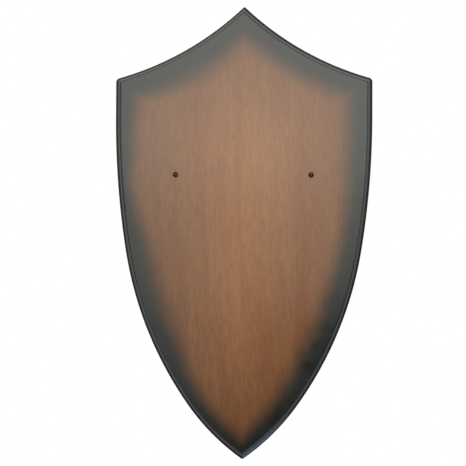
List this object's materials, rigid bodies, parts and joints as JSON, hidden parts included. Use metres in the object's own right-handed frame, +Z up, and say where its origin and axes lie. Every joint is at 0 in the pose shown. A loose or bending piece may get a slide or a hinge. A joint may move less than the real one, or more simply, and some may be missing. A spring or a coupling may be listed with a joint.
{
  "type": "wall plaque",
  "caption": "Heater-shield wooden wall plaque with a dark-shaded face and routed edge, screws for what it displays, and a ring hanger and bumpers on its back.",
  "frame": {"origin": "on the wall that the bumpers rest against, behind the middle of the shield pattern's height and width", "axes": "+Z up to the apex, +Y into the wall, +X to the right seen from the front; the face is 24.6 mm in front of the wall"},
  "size_m": [0.3472, 0.0298, 0.6102],
  "materials": {
    "black_lacquer": "satin charcoal-black lacquer over fibreboard",
    "face_veneer": "red-brown mahogany veneer, charcoal spray shading at the edge, satin lacquer",
    "back_veneer": "plain sealed balancing veneer",
    "dark_bronze": "dark antique bronze",
    "zinc_plate": "bright zinc plate",
    "bumper_rubber": "matt black rubber"
  },
  "bodies": {
    "board": {"core_board": "black_lacquer", "face_veneer": "face_veneer", "back_veneer": "back_veneer", "display_screw_left": "dark_bronze", "display_screw_right": "dark_bronze", "hanger_strap": "zinc_plate", "hanger_screw": "zinc_plate", "bumper_upper_left": "bumper_rubber", "bumper_upper_right": "bumper_rubber", "bumper_lower": "bumper_rubber"},
    "ring": {"hanger_ring": "zinc_plate"}
  },
  "joints": [
    {"name": "ring_swing", "type": "hinge", "parent": "board", "child": "ring", "pos_m": [0, -0.00365, 0.214], "axis": [1, 0, 0], "range_deg": [-3, 183]}
  ]
}
